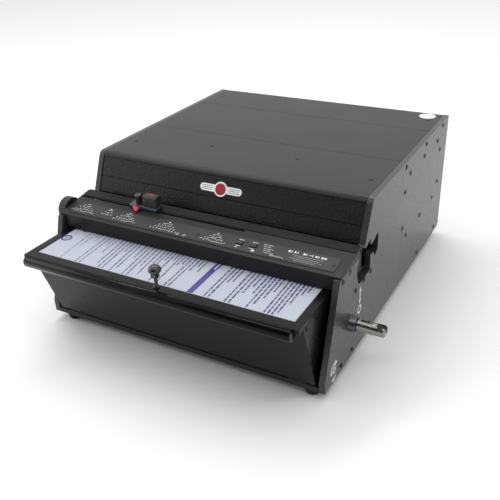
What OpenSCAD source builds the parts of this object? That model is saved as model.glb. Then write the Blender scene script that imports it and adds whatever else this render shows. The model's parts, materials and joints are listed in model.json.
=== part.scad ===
// Electric binding punch with an interchangeable die and a front chip drawer.
// Millimetres. Bench frame: x = 0 on the mid-plane, y = 0 at the lower front edge of the side
// plates, +Y towards the rear, z = 0 on the table. place() then centres the whole machine.

/* [Housing] */
// Width over the two side plates
machine_w = 419; // [412:1:426]
// Depth of the side plates
machine_d = 492; // [488:1:500]
// Height of the side plates
plate_h = 195; // [194:1:200]
// Thickness of each side plate
plate_t = 8; // [6:0.5:8]
// Thickness of the steel covers
sheet = 1.5; // [1:0.1:1.8]
// Lean of the upper face from the vertical
face_angle = 23.6; // [22:0.1:24]
// Radius of the bend between the upper face and the top
top_r = 10; // [6:1:12]

/* [Feet] */
// Height of a foot
foot_h = 13; // [10:1:16]
// Diameter of a foot
foot_d = 20; // [16:1:24]

/* [Deck] */
// Slope of the control deck
deck_slope = 8.9; // [8:0.1:9.5]
// Thickness of the deck sheet
deck_t = 2; // [1.5:0.1:2.2]
// Height of the band under the front edge of the deck
band_h = 19; // [16:1:19]
// Width of the slot that the side guide runs in
guide_slot_w = 3; // [2.8:0.1:4]

/* [Chip drawer] */
// Width over the drawer walls
drawer_w = 394; // [380:1:396]
// Thickness of the drawer walls
drawer_t = 2; // [1.2:0.1:3]
// Radius of the bull-nosed pull along the rim
lip_r = 8.5; // [6:0.5:9]

/* [Die and pins] */
// Number of punch pins
pin_count = 24; // [12:1:26]
// Distance between punch pins
pin_pitch = 14.2875; // [12:0.0125:14.2875]
// Width of a punch pin along the sheet
pin_w = 8; // [5:0.5:9]
// Height of a punch pin
pin_h = 3; // [2:0.5:3.5]
// Stroke of the pins
stroke = 12; // [8:1:12]

/* [Drive] */
// Module of the gears
gear_m = 2.5; // [2:0.1:2.5]
// Teeth on the main gear
gear_teeth = 36; // [30:1:36]
// Teeth on the motor pinion
pinion_teeth = 14; // [14:1:18]
// Diameter of the main shaft
main_d = 24; // [18:1:26]
// Diameter of the die clamp shaft
clamp_d = 16; // [12:1:16]
// How far the clamp shaft stands out of the right side plate
clamp_reach = 45; // [30:1:60]
// Diameter of the guide knob
knob_d = 34; // [28:1:34]

/* [Hidden] */
$fn = 48;
gap = 0.3;                       // room between bodies that move past each other
seam = 0.6;                      // visible joint between neighbouring covers
half_w = machine_w / 2;
inner = half_w - plate_t;        // inside face of a side plate
bay = inner - gap;               // half width of what lies between the plates
base_z = foot_h;
top_z = base_z + plate_h;

// Side plate outline, height measured from the bottom edge of the plate
toe_h = 17;
shoulder = [37, 135];
throat_y = 98.6;
face_foot = [117, 142.6];
// Pocket that the die slides out of, from the throat round to the upper lip
die_pocket = [
    [98.6, 135], [97, 130], [92.6, 124], [92, 113.6], [97.6, 100.5], [103.4, 96], [138, 97],
    [140, 104], [138, 119], [150, 117], [156, 108.5], [166, 115], [165.5, 138], [158, 138],
    [151, 134], [138, 133], [138, 137], [135, 143], [128, 140.6], [121.6, 138], [114.5, 140]
];
// Plain throat notch of the left plate
plain_notch = [[98.6, 135], [104, 122], [114.5, 122], [114.5, 140]];

// Deck, heights above the table
deck_y = [40.6, 104.5];
deck_front_z = base_z + 137.3;
shoulder_z = base_z + shoulder[1];
deck_skirt_z = base_z + 140;
guide_slot_x = [-206, 60];
guide_slot_y = 87;
strip_y = [89.5, 104.3];
strip_t = 0.8;
overlay_x = 198;
overlay_y = [47, 75];
overlay_t = 0.6;
overlay_r = 4;
button_x = [66.5, 85.4];
button_y = 62;
button_size = [9, 7];

// Upper face, distances along the slope from its lower edge
face_recess = 1;
face_seam = 22;
face_flange = 14;
badge_size = [64, 10, 1];
badge_s = 34;
badge_d = 20;

// Top covers
cover_split = [270, 405];
cover_rear_y = machine_d - 2;
cover_lip = 8;
sticker_d = 26;
sticker_at = [180, 474];

// Rear panel
rear_y = [machine_d - 8, machine_d - 8 + sheet];
vent_count = 12;
vent_pitch = 8;
vent_size = [3, 60];
vent_x = 120;
vent_z = base_z + 80;
inlet_at = [150, base_z + 50];
inlet_size = [28, 20];
switch_at = [110, base_z + 50];
switch_w = 19;
switch_d = 23;
switch_depth = 5;                // pivot of the rocker behind the panel
fuse_at = [75, base_z + 50];
fuse_d = 13;
pedal_at = [45, base_z + 50];
pedal_d = 16;
switch_window_h = 2 * (sqrt(pow(switch_d / 2, 2) - pow(switch_depth, 2)) + gap);

// Chip drawer
rim_z = base_z + 117.4;
lid_t = 6;
lid_z = rim_z - lid_t;
rim_front_y = -46;
drawer_rear_y = 58;
drawer_floor_z = base_z + 8;
drawer_toe_y = 0.7;
drawer_top_y = -35;
drawer_back_h = 55;
card_half_w = 187;
card_y = [-33, 56];
card_t = 0.5;
recess = 1.6;
lip_x = [-193, 189];
lip_center = [-44.5, base_z + 108.5];
pull_at = [8.5, -38];
pull_h = 30;

// Die, pins and press
die_x = [-195, 203];
die_bed_z = base_z + 97;
die_floor_z = die_bed_z + 0.4;
die_base_h = 8;
die_top_z = base_z + 137;
die_front_y = 104.3;
die_plate_t = 7.7;
paper_gap = 3;
guide_plate_t = 9;
die_base_rear_y = 137;
pin_z = base_z + 127;
hole_edge = 4.5;                 // sheet edge to the middle of the punched holes
pin_play = 0.3;
paper_y = die_front_y + die_plate_t;
guide_plate_y = paper_y + paper_gap;
pin_tip_y = guide_plate_y + 1;
pin_bar_y = 143;
pin_bar_t = 7;
pin_bar_x = [-180, 190];
bar_z = [pin_z - 6, pin_z + 5.5];
neck_half = 2;
neck_l = 3;
flange_t = 3;
flange_y = pin_bar_y + pin_bar_t + neck_l;
press_x = 182;
press_y = [pin_bar_y + pin_bar_t + 0.5, 165];
press_z = [pin_z - 12, pin_z + 12];
press_play = 0.4;
lug_t = 6;
lug_y = [press_y[1], 197];
lug_half_h = 9;

// Drive
main_at = [215, base_z + 128];
main_half_l = 160;
link_x = 125;
link_t = 14;
eccentric_e = stroke / 2;
eccentric_d = 40;
ring_w = 7;
wrist_y = 188;
wrist_d = 8;
wrist_r = 8;
gear_x = [92, 108];
gear_center = gear_m * (gear_teeth + pinion_teeth) / 2 + 0.25;
pinion_at = [main_at[0], main_at[1] - gear_center];
pinion_bore = 14;
backlash = 0.25;
plate_x = [145, 155];
bearing_d = 40;
bearing_plate_y = [178, 256];
motor_x = [-75, 45];
motor_d = 80;
gearbox_x = [45, 88];

// Die clamp
clamp_at = [78, base_z + 54];
clamp_left_x = -half_w + 3;
clamp_end_d = clamp_d - 0.4;
clamp_bush_d = 24;
clamp_bush_reach = 8.5;
arm_x = 120;
arm_t = 10;
arm_tip = [115, die_floor_z - gap];
arm_w = 14;
bed_y = [98, 146];
bed_z = [base_z + 87, die_bed_z];
chute_y = [52, 103.3];
chute_z = [base_z + 67, base_z + 108];

// Side guide
screw_at = [68, base_z + 131];
screw_d = 7;
knob_l = 14;
knob_gap = 1;
knob_bore = 9;
guide_x = [-98, -76];
guide_y = [86, 100];
guide_top_z = base_z + 165;
rider_x = -120;
rider_y = [84, 100];
rider_t = 3.5;
rider_lift = strip_t + gap;
carriage_y = [58, 92];
carriage_z = [base_z + 126, base_z + 137];
neck_w = 1.8;
thumb_at = [-107, 91];
thumb_h = 14;
thumb_d = 9;

// Screws in the side plates, [y, height above the plate's bottom edge]
cover_screws_yz = [[461, 188], [369, 188], [272.6, 187]];
pan_screws_yz = [[465, 9], [367, 8], [87, 8], [50, 8]];
bed_screws_yz = [[91, 93], [119, 93], [143.6, 93]];
deck_screws_yz = [[47, 129]];
// Tie bars, each held by two screws or one
bar_pairs = [
    [[275, 149], [295, 170]], [[275, 93], [296, 72.5]],
    [[433, 77], [456, 96]], [[435, 171], [454, 151]]
];
single_bars = [[364, 171], [364, 75]];
bar_t = 14;
screw_head_d = 7;
screw_head_h = 0.8;
screw_shank_d = 4;
bar_screws_yz = concat([for (pair = bar_pairs) each pair], single_bars);
side_screw_yz = concat(cover_screws_yz, pan_screws_yz, bed_screws_yz, deck_screws_yz, bar_screws_yz);
top_screw_xy = [[186, 195], [-186, 195], [-69, 224], [69, 224], [186, 455], [-186, 455]];
overlay_screw_xy = [[192, 60], [6, 60], [-192, 60]];

foot_bolt_d = 5;
foot_xy = [for (x = [-187.5, 187.5], y = [15, 470]) [x, y]];

// Whole machine, used to centre it
left_x = -half_w - knob_gap - knob_l;
right_x = half_w + clamp_reach;
front_y = lip_center[0] - lip_r;
mid = [(left_x + right_x) / 2, (front_y + machine_d) / 2];

// Puts a piece drawn in the bench frame into the centred frame
module place() translate([-mid[0], -mid[1], 0]) children();

// Extrudes a (y, z) outline along x
module along_x(x0, x1) translate([x0, 0, 0]) rotate([90, 0, 90]) linear_extrude(x1 - x0) children();

// Round bar along x at [y, z]
module rod(at, d, x0, x1) along_x(x0, x1) translate(at) circle(d = d);

// Box between two corners
module block(a, b) translate(a) cube(b - a);

// Copies on both sides of the mid-plane
module both_sides() {
    children();
    mirror([1, 0, 0]) children();
}

function deck_z(y) = deck_front_z + (y - deck_y[0]) * tan(deck_slope);

// Puts a piece on the deck, its local x and y in the deck's surface
module on_deck(x, y, lift = 0) translate([x, y, deck_z(y)]) rotate([deck_slope, 0, 0])
    translate([0, 0, lift]) children();

// Puts a piece on the upper face, s along the slope from its lower edge
module on_face(s) translate([0, face_foot[0], base_z + face_foot[1]]) rotate([90 - face_angle, 0, 0])
    translate([0, s, -face_recess]) children();

function face_y(h) = face_foot[0] + (h - face_foot[1]) * tan(face_angle);

// Centre of the bend between the face and the top
bend = [face_y(plate_h - top_r) + top_r / cos(face_angle), plate_h - top_r];
bend_steps = 6;
function bend_arc(r) = [for (i = [0:bend_steps])
    let (a = 180 - face_angle + (face_angle - 90) * i / bend_steps) bend + r * [cos(a), sin(a)]];
face_l = (bend[1] + top_r * sin(face_angle) - face_foot[1]) / cos(face_angle);

module plate_outline(notch) polygon(concat(
    [[0, 0], [0, toe_h], shoulder], notch, [face_foot], bend_arc(top_r),
    [[machine_d, plate_h], [machine_d, 0]]));

module screw_holes(x0, x1) for (at = side_screw_yz)
    rod(at + [0, base_z], screw_shank_d + 0.2, x0, x1);

// ---- Housing ----

module base_pan() color("dimgray") place() {
    wall = sheet;
    rail_h = 7;
    flange_h = 14;
    rear = rear_y[0] - gap;
    difference() {
        block([-bay, 0, base_z], [bay, rear, base_z + wall]);
        for (at = foot_xy) translate([at[0], at[1], base_z - 1]) cylinder(d = foot_bolt_d, h = wall + 2);
    }
    block([-bay, 0, base_z], [bay, wall, base_z + rail_h]);
    block([-bay, rear - wall, base_z], [bay, rear, base_z + flange_h]);
    both_sides() difference() {
        block([bay - wall, wall, base_z], [bay, rear, base_z + flange_h]);
        for (at = pan_screws_yz) rod(at + [0, base_z], screw_shank_d, bay - wall - 1, bay + 1);
    }
}

module left_side_plate() color("#17181a") place() difference() {
    along_x(-half_w, -inner) translate([0, base_z]) plate_outline(plain_notch);
    screw_holes(-half_w - 1, -inner + 1);
    rod(screw_at, screw_d + 0.6, -half_w - 1, -inner + 1);
    rod(clamp_at, clamp_d + 0.2, clamp_left_x - 1, -inner + 1);
}

module right_side_plate() color("#17181a") place() difference() {
    along_x(inner, half_w) translate([0, base_z]) plate_outline(die_pocket);
    screw_holes(inner - 1, half_w + 1);
    rod(screw_at, screw_d + 0.6, inner - 1, half_w + 1);
    rod(clamp_at, clamp_bush_d, inner - 1, half_w + 1);
}

module top_cover_front() color("#2b2c2e") place() {
    edge = plate_h;
    outer = concat(bend_arc(top_r), [[cover_split[0] - seam / 2, edge]]);
    under = concat(bend_arc(top_r - sheet), [[cover_split[0] - seam / 2, edge - sheet]]);
    along_x(-bay, bay) translate([0, base_z])
        polygon(concat(outer, [for (i = [len(under) - 1:-1:0]) under[i]]));
}

module top_cover_middle() color("#2b2c2e") place()
    block([-bay, cover_split[0] + seam / 2, top_z - sheet], [bay, cover_split[1] - seam / 2, top_z]);

module top_cover_rear() color("#2b2c2e") place() {
    block([-bay, cover_split[1] + seam / 2, top_z - sheet], [bay, cover_rear_y, top_z]);
    block([-bay, cover_rear_y - sheet, top_z - cover_lip], [bay, cover_rear_y, top_z]);
}

module face_panel_upper() color("#101112") place() on_face(0)
    block([-bay, face_seam + seam / 2, -sheet], [bay, face_l - seam / 2, 0]);

module face_panel_lower() color("#101112") place() {
    on_face(0) block([-bay, 0, -sheet], [bay, face_seam - seam / 2, 0]);
    y0 = face_foot[0] + 1;
    z0 = base_z + face_foot[1];
    block([-bay, y0 + sheet, z0 + 1], [bay, y0 + face_flange, z0 + 1 + sheet]);
}

module deck_cover() color("#222324") place() {
    front = deck_y[0];
    rear = deck_y[1];
    skirt = [[front, shoulder_z], [front, deck_front_z], [throat_y, deck_z(throat_y)],
        [throat_y, shoulder_z]];
    difference() {
        along_x(-half_w, half_w) polygon([
            [front, deck_front_z - band_h], [front, deck_front_z], [rear, deck_z(rear)],
            [rear, deck_skirt_z], [rear - deck_t, deck_skirt_z],
            [rear - deck_t, deck_z(rear - deck_t) - deck_t],
            [front + deck_t, deck_z(front + deck_t) - deck_t], [front + deck_t, deck_front_z - band_h]]);
        both_sides() block([bay, front - 1, 0], [half_w + 1, rear + 1, shoulder_z]);
        block([guide_slot_x[0], guide_slot_y - guide_slot_w / 2, base_z],
            [guide_slot_x[1], guide_slot_y + guide_slot_w / 2, top_z]);
        for (x = button_x) on_deck(x, button_y)
            cube([button_size[0] + 2 * gap, button_size[1] + 2 * gap, 4 * deck_t], center = true);
    }
    both_sides() along_x(half_w - deck_t, half_w) polygon(skirt);
}

module control_overlay() color("#2e2f31") place() {
    half_l = (overlay_y[1] - overlay_y[0]) / 2;
    middle = (overlay_y[0] + overlay_y[1]) / 2;
    on_deck(0, middle) linear_extrude(overlay_t) difference() {
        union() {
            square([2 * (overlay_x - overlay_r), 2 * half_l], center = true);
            square([2 * overlay_x, 2 * (half_l - overlay_r)], center = true);
            for (sx = [-1, 1], sy = [-1, 1])
                translate([sx * (overlay_x - overlay_r), sy * (half_l - overlay_r)]) circle(r = overlay_r);
        }
        for (x = button_x) translate([x, (button_y - middle) / cos(deck_slope)])
            square(button_size + [2 * gap, 2 * gap], center = true);
        for (at = overlay_screw_xy) translate([at[0], (at[1] - middle) / cos(deck_slope)])
            circle(d = screw_shank_d);
    }
}

module deck_rear_strip() color("#161718") place()
    along_x(guide_slot_x[0], half_w - deck_t) polygon([
        [strip_y[0], deck_z(strip_y[0])], [strip_y[1], deck_z(strip_y[1])],
        [strip_y[1], deck_z(strip_y[1]) + strip_t], [strip_y[0], deck_z(strip_y[0]) + strip_t]]);

module rear_panel() color("#1b1c1e") place() {
    cut = [rear_y[0] - 1, rear_y[1] + 1];
    difference() {
        block([-bay, rear_y[0], base_z], [bay, rear_y[1], top_z - cover_lip - gap]);
        for (side = [-1, 1], i = [0:vent_count - 1])
            translate([side * vent_x + (i - vent_count / 2) * vent_pitch, 0, vent_z])
                block([0, cut[0], 0], [vent_size[0], cut[1], vent_size[1]]);
        rear_window(inlet_at, inlet_size, cut);
        rear_window(switch_at, [switch_w + 2 * gap, switch_window_h], cut);
        rear_bore(fuse_at, fuse_d, cut);
        rear_bore(pedal_at, pedal_d, cut);
    }
}

module rear_window(at, size, y) block([at[0] - size[0] / 2, y[0], at[1] - size[1] / 2],
    [at[0] + size[0] / 2, y[1], at[1] + size[1] / 2]);

module rear_bore(at, d, y) translate([at[0], y[1], at[1]]) rotate([90, 0, 0])
    cylinder(d = d, h = y[1] - y[0]);

module feet() color("#0d0d0e") place() for (at = foot_xy)
    translate([at[0], at[1], 0]) difference() {
        union() {
            cylinder(d1 = foot_d - 3, d2 = foot_d, h = foot_h / 3);
            translate([0, 0, foot_h / 3]) cylinder(d = foot_d, h = foot_h * 2 / 3);
        }
        translate([0, 0, -1]) cylinder(d = 9, h = foot_h / 2 + 1);
        cylinder(d = foot_bolt_d, h = foot_h + 1);
    }

module tie_bars() color("silver") place() {
    for (pair = bar_pairs) {
        span = pair[1] - pair[0];
        difference() {
            along_x(-bay, bay) translate(pair[0] + [0, base_z]) rotate(atan2(span[1], span[0]))
                translate([-bar_t / 2, -bar_t / 2]) square([norm(span) + bar_t, bar_t]);
            for (at = pair) tapped_ends(at);
        }
    }
    for (at = single_bars) difference() {
        rod(at + [0, base_z], bar_t, -bay, bay);
        tapped_ends(at);
    }
}

module tapped_ends(at) both_sides() rod(at + [0, base_z], screw_shank_d, bay - 12, bay + 1);

module side_screws() color("#3a3b3d") place() both_sides() for (at = side_screw_yz) {
    rod(at + [0, base_z], screw_shank_d, inner, half_w);
    difference() {
        rod(at + [0, base_z], screw_head_d, half_w, half_w + screw_head_h);
        along_x(half_w + 0.2, half_w + 1) translate(at + [0, base_z]) circle(d = 2.9, $fn = 6);
    }
}

module cover_screws() color("#3a3b3d") place() {
    for (at = top_screw_xy) translate([at[0], at[1], top_z]) cylinder(d = 6, h = 0.5);
    for (at = overlay_screw_xy) on_deck(at[0], at[1]) {
        cylinder(d = screw_shank_d - 0.2, h = overlay_t);
        translate([0, 0, overlay_t]) cylinder(d = 5, h = 0.6);
    }
}

module badge() color("white") place() on_face(badge_s) {
    linear_extrude(badge_size[2]) {
        square([badge_size[0] - badge_size[1], badge_size[1]], center = true);
        for (sx = [-1, 1]) translate([sx * (badge_size[0] - badge_size[1]) / 2, 0])
            circle(d = badge_size[1]);
    }
    cylinder(d = badge_d, h = 1.6 * badge_size[2], $fn = 64);
}

module round_sticker() color("ivory") place()
    translate([sticker_at[0], sticker_at[1], top_z]) cylinder(d = sticker_d, h = 0.3, $fn = 64);

// ---- Fixed pieces inside ----

module die_bed() color("slategray") place() difference() {
    block([-bay, bed_y[0], bed_z[0]], [bay, bed_y[1], bed_z[1]]);
    both_sides() block([arm_x - arm_t / 2 - 1.5, bed_y[0] - 1, bed_z[0] - 1],
        [arm_x + arm_t / 2 + 1.5, bed_y[0] + 40, bed_z[1] + 1]);
    both_sides() for (i = [1, 2])
        rod(bed_screws_yz[i] + [0, base_z], screw_shank_d, bay - 12, bay + 1);
}

module chip_chute() color("silver") place() {
    half = drawer_w / 2 - drawer_t - 2;
    along_x(-half, half) polygon([
        [chute_y[0], chute_z[0]], [chute_y[1], chute_z[1]], [chute_y[1], chute_z[1] - 2 * sheet],
        [chute_y[0] + sheet, chute_z[0] - sheet / 2]]);
    both_sides() block([half - sheet, bed_screws_yz[0][0] - 8, bed_z[0]],
        [bay, bed_screws_yz[0][0] + 6, bed_z[0] + 12]);
}

module drawer_runners() color("gainsboro") place() both_sides()
    block([160, sheet + 1, base_z + sheet], [182, 150, drawer_floor_z - gap]);

module bearing_plates() color("slategray") place() both_sides() difference() {
    union() {
        block([plate_x[0], bearing_plate_y[0], base_z + sheet],
            [plate_x[1], bearing_plate_y[1], main_at[1] + 45]);
        block([plate_x[0] - 18, bearing_plate_y[0], base_z + sheet],
            [plate_x[1], bearing_plate_y[1], base_z + 10]);
    }
    rod(main_at, bearing_d, plate_x[0] - 1, plate_x[1] + 1);
}

module shaft_bearings() color("lightsteelblue") place() both_sides() difference() {
    rod(main_at, bearing_d, plate_x[0], plate_x[1]);
    rod(main_at, main_d + 0.2, plate_x[0] - 1, plate_x[1] + 1);
}

module press_guides() color("goldenrod") place() both_sides() {
    block([160, 147, base_z + 99], [bay, 190, press_z[0] - press_play]);
    block([160, 147, press_z[1] + press_play], [bay, 190, base_z + 149]);
}

module clamp_bushing() color("#4c4d50") place() difference() {
    union() {
        rod(clamp_at, clamp_bush_d, inner - 4, half_w);
        rod(clamp_at, clamp_d + 5, half_w, half_w + clamp_bush_reach);
    }
    rod(clamp_at, clamp_d + 0.1, inner - 5, half_w + clamp_bush_reach + 1);
}

module motor() color("#50555c") place() {
    cap = 12;
    rod(pinion_at, motor_d - 6, motor_x[0], motor_x[0] + cap);
    rod(pinion_at, motor_d, motor_x[0] + cap, motor_x[1] - cap);
    rod(pinion_at, motor_d - 6, motor_x[1] - cap, motor_x[1]);
    block([motor_x[0] + cap + 6, pinion_at[0] - 32, base_z + sheet],
        [motor_x[1] - cap - 6, pinion_at[0] + 32, pinion_at[1] - 24]);
}

module gearbox() color("#6b6f75") place() {
    half = 36;
    difference() {
        union() {
            block([gearbox_x[0], pinion_at[0] - half, pinion_at[1] - half],
                [gearbox_x[1], pinion_at[0] + half, pinion_at[1] + half - 3]);
            block([gearbox_x[0] + 4, pinion_at[0] - half - 8, base_z + sheet],
                [gearbox_x[1] - 4, pinion_at[0] + half + 8, pinion_at[1] - half + 6]);
        }
        rod(pinion_at, pinion_bore + 0.2, gearbox_x[1] - 15, gearbox_x[1] + 1);
    }
}

module control_board() color("darkgreen") place() {
    board = [-170, 320, base_z + 12];
    block(board, board + [110, 90, 1.6]);
    block(board + [8, 8, 1.6], board + [34, 40, 26]);
    block(board + [44, 10, 1.6], board + [74, 24, 18]);
    for (i = [0:3]) translate(board + [52 + 14 * i, 60, 1.6]) cylinder(d = 10, h = 22);
    for (x = [6, 104], y = [6, 84]) translate(board + [x, y, -12 + sheet]) cylinder(d = 6, h = 12 - sheet);
}

module transformer() color("#8a6b3d") place() {
    corner = [60, 320, base_z + sheet];
    block(corner, corner + [70, 56, 58]);
    block(corner + [-6, 10, 12], corner + [76, 46, 46]);
}

module power_inlet() color("#111111") place() difference() {
    union() {
        rear_window(inlet_at, inlet_size, [rear_y[0] - 14, rear_y[1]]);
        rear_window(inlet_at, inlet_size + [8, 6], [rear_y[1], rear_y[1] + 2]);
    }
    rear_window(inlet_at, inlet_size - [4, 4], [rear_y[0] - 10, rear_y[1] + 3]);
    for (dx = [-8, 8]) rear_bore(inlet_at + [dx, 0], 1, [rear_y[0] - 12, rear_y[0] - 9]);
}

module fuse_holder() color("#111111") place() {
    rear_bore(fuse_at, fuse_d, [rear_y[0] - 20, rear_y[1]]);
    rear_bore(fuse_at, fuse_d + 4, [rear_y[1], rear_y[1] + 3]);
}

module pedal_socket() color("silver") place() difference() {
    union() {
        rear_bore(pedal_at, pedal_d, [rear_y[0] - 15, rear_y[1]]);
        rear_bore(pedal_at, pedal_d + 5, [rear_y[1], rear_y[1] + 2]);
    }
    rear_bore(pedal_at, pedal_d - 3, [rear_y[0] - 9, rear_y[1] + 3]);
}

// ---- Chip drawer ----

module drawer_body() color("#232425") place() {
    half = drawer_w / 2;
    lean = drawer_t / cos(atan((drawer_toe_y - drawer_top_y) / (lid_z - drawer_floor_z)));
    back_z = drawer_floor_z + drawer_back_h;
    side = [[drawer_toe_y, drawer_floor_z], [drawer_rear_y, drawer_floor_z], [drawer_rear_y, lid_z],
        [drawer_top_y, lid_z]];
    both_sides() along_x(half - drawer_t, half) polygon(side);
    along_x(-half, half) polygon([
        [drawer_toe_y, drawer_floor_z], [drawer_toe_y + lean, drawer_floor_z],
        [drawer_top_y + lean, lid_z], [drawer_top_y, lid_z]]);
    block([-half, drawer_toe_y, drawer_floor_z], [half, drawer_rear_y, drawer_floor_z + drawer_t]);
    block([-half, drawer_rear_y - drawer_t, drawer_floor_z], [half, drawer_rear_y, back_z]);
}

module drawer_lid() color("#303133") place() difference() {
    block([-drawer_w / 2, rim_front_y, lid_z], [drawer_w / 2, drawer_rear_y, rim_z]);
    block([-card_half_w, card_y[0], rim_z - recess], [card_half_w, card_y[1], rim_z + 1]);
}

module instruction_card() color("#dce1eb") place()
    block([-card_half_w + 0.5, card_y[0] + 0.5, rim_z - recess],
        [card_half_w - 0.5, card_y[1] - 0.5, rim_z - recess + card_t]);

module drawer_lip() color("#121314") place() along_x(lip_x[0], lip_x[1]) difference() {
    union() {
        translate(lip_center) circle(r = lip_r);
        translate([lip_center[0], lid_z - 4.5]) square([8, 4.5]);
    }
    translate([rim_front_y, lid_z]) square(3 * lip_r);
    translate([rim_front_y + 10, lid_z - 3 * lip_r]) square([lip_r, 3 * lip_r]);
}

module drawer_knob() color("#0c0c0d") place() translate([pull_at[0], pull_at[1], rim_z])
    rotate_extrude() polygon(concat(
        [[0, 0], [4.2, 0], [4.2, 1.5], [2.4, 3], [2.2, 13], [5, 13.8], [5.4, 15], [5.4, 20.5], [7.4, 21.2]],
        [for (a = [0:15:90]) [8 * cos(a), 23 + (pull_h - 23) * sin(a)]]));

// ---- Die ----

module die_base() color("silver") place() {
    floor_top = die_floor_z + die_base_h;
    block([die_x[0], die_front_y, die_floor_z], [die_x[1], die_base_rear_y, floor_top]);
    block([die_x[0], paper_y, floor_top], [die_x[1], guide_plate_y, pin_z - hole_edge]);
}

module pin_row(y0, y1, play) for (i = [0:pin_count - 1])
    translate([(i - (pin_count - 1) / 2) * pin_pitch, (y0 + y1) / 2, pin_z])
        cube([pin_w + 2 * play, y1 - y0, pin_h + 2 * play], center = true);

module die_plate() color("gainsboro") place() difference() {
    block([die_x[0], die_front_y, die_floor_z + die_base_h], [die_x[1], paper_y, die_top_z]);
    pin_row(die_front_y - 1, paper_y + 1, pin_play);
}

module die_guide_plate() color("lightgray") place() difference() {
    block([die_x[0], guide_plate_y, die_floor_z + die_base_h],
        [die_x[1], guide_plate_y + guide_plate_t, die_top_z]);
    pin_row(guide_plate_y - 1, guide_plate_y + guide_plate_t + 1, pin_play);
}

module pin_bar() color("dimgray") place() {
    rear = pin_bar_y + pin_bar_t;
    block([pin_bar_x[0], pin_bar_y, bar_z[0]], [pin_bar_x[1], rear, bar_z[1]]);
    block([pin_bar_x[0], rear, pin_z - neck_half], [pin_bar_x[1], flange_y, pin_z + neck_half]);
    block([pin_bar_x[0], flange_y, bar_z[0]], [pin_bar_x[1], flange_y + flange_t, bar_z[1]]);
}

module punch_pins() color("silver") place() pin_row(pin_tip_y, pin_bar_y, 0);

// ---- Press and drive ----

module press_bar() color("slategray") place() difference() {
    union() {
        block([-press_x, press_y[0], press_z[0]], [press_x, press_y[1], press_z[1]]);
        both_sides() for (side = [-1, 1])
            translate([link_x + side * (link_t / 2 + 0.6 + lug_t / 2) - lug_t / 2, 0, main_at[1]])
                block([0, lug_y[0], -lug_half_h], [lug_t, lug_y[1], lug_half_h]);
    }
    block([-press_x - 1, flange_y - press_play, bar_z[0] - press_play],
        [press_x + 1, flange_y + flange_t + press_play, bar_z[1] + press_play]);
    block([-press_x - 1, press_y[0] - 1, pin_z - neck_half - press_play],
        [press_x + 1, flange_y, pin_z + neck_half + press_play]);
    both_sides() rod([wrist_y, main_at[1]], wrist_d + 0.2, link_x - 20, link_x + 20);
}

module main_shaft() color("silver") place() rod(main_at, main_d, -main_half_l, main_half_l);

module eccentrics() color("lightslategray") place() both_sides() difference() {
    rod(main_at + [eccentric_e, 0], eccentric_d, link_x - link_t / 2, link_x + link_t / 2);
    rod(main_at, main_d, link_x - link_t, link_x + link_t);
}

module connecting_links() color("steelblue") place() both_sides() {
    hub = main_at + [eccentric_e, 0];
    x0 = link_x - link_t / 2 + 0.3;
    x1 = link_x + link_t / 2 - 0.3;
    difference() {
        union() {
            rod(hub, eccentric_d + 2 * ring_w, x0, x1);
            rod([wrist_y, main_at[1]], 2 * wrist_r, x0, x1);
            block([x0, wrist_y, main_at[1] - 6], [x1, hub[0], main_at[1] + 6]);
        }
        rod(hub, eccentric_d + 0.2, x0 - 1, x1 + 1);
        rod([wrist_y, main_at[1]], wrist_d + 0.2, x0 - 1, x1 + 1);
    }
}

// Spur gear with involute flanks, 20 degree pressure angle, lying in the xy plane
pressure = 20;
function involute(rb, r) = let (a = sqrt(max(0, r * r / rb / rb - 1)) * 180 / PI)
    a - atan2(a * PI / 180, 1);
function flank(teeth, side) = let (
    rp = gear_m * teeth / 2,
    rb = rp * cos(pressure),
    tip = rp + gear_m * 0.95,
    low = max(rb, rp - 1.2 * gear_m),
    half = 90 / teeth - backlash / rp / 2 * 180 / PI + involute(rb, rp))
    [for (i = [0:3]) let (r = low + (tip - low) * i / 3) [r, side * (half - involute(rb, r))]];
function tooth(teeth) = let (
    root = gear_m * teeth / 2 - 1.3 * gear_m,
    down = flank(teeth, -1),
    up = flank(teeth, 1))
    concat([[root, down[0][1]]], down, [for (i = [3:-1:0]) up[i]], [[root, up[0][1]]]);
function gear_points(teeth) = [for (k = [0:teeth - 1], p = tooth(teeth))
    p[0] * [cos(p[1] + k * 360 / teeth), sin(p[1] + k * 360 / teeth)]];

// Turns set a tooth of the main gear into a space of the pinion
module main_gear() color("darkgoldenrod") place() difference() {
    along_x(gear_x[0], gear_x[1]) translate(main_at) rotate(-90) polygon(gear_points(gear_teeth));
    rod(main_at, main_d, gear_x[0] - 1, gear_x[1] + 1);
}

module drive_pinion() color("silver") place() {
    along_x(gear_x[0] - 2, gear_x[1] + 2) translate(pinion_at) rotate(90 + 180 / pinion_teeth)
        polygon(gear_points(pinion_teeth));
    rod(pinion_at, pinion_bore, gearbox_x[1] - 12, gear_x[0] - 2);
}

// ---- Die clamp ----

module clamp_shaft() color("#c9ccd0") place() {
    tip = half_w + clamp_reach;
    neck_x = half_w + clamp_bush_reach + 1.5;
    chamfer = 2;
    slot_w = 8;
    slot_l = 11;
    difference() {
        union() {
            rod(clamp_at, clamp_d, clamp_left_x, neck_x);
            rod(clamp_at, clamp_end_d, neck_x, tip - chamfer);
            translate([tip - chamfer, clamp_at[0], clamp_at[1]]) rotate([0, 90, 0])
                cylinder(d1 = clamp_end_d, d2 = clamp_end_d - 2 * chamfer, h = chamfer);
        }
        block([tip - slot_l, clamp_at[0] - slot_w / 2, clamp_at[1] - clamp_d],
            [tip + 1, clamp_at[0] + slot_w / 2, clamp_at[1] + clamp_d]);
        translate([half_w + 15, clamp_at[0], clamp_at[1]]) cylinder(d = 4, h = 3 * clamp_d, center = true);
    }
}

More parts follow.
